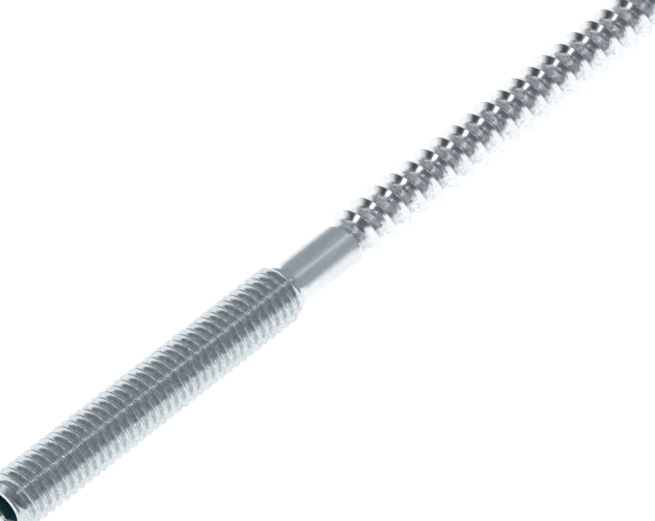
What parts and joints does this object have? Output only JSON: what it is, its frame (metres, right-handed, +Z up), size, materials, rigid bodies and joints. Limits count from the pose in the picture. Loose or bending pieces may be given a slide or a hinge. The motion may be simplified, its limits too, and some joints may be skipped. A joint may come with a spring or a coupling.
{
  "type": "hanger bolt",
  "caption": "Zinc-plated steel hanger bolt with a machine thread and hexagon socket at one end, a plain neck, and a coarse wood thread that ends in a point.",
  "frame": {"origin": "centre of the flat end face that holds the hexagon socket, on the bolt's axis", "axes": "+X runs along the bolt from the socket end to the point, +Z is up as the bolt lies, +Y completes the right-handed frame"},
  "size_m": [0.13, 0.0078, 0.0078],
  "materials": {
    "zinc_plated_steel": "bright zinc plate, satin"
  },
  "bodies": {
    "root": {"hanger_bolt": "zinc_plated_steel"}
  },
  "joints": []
}
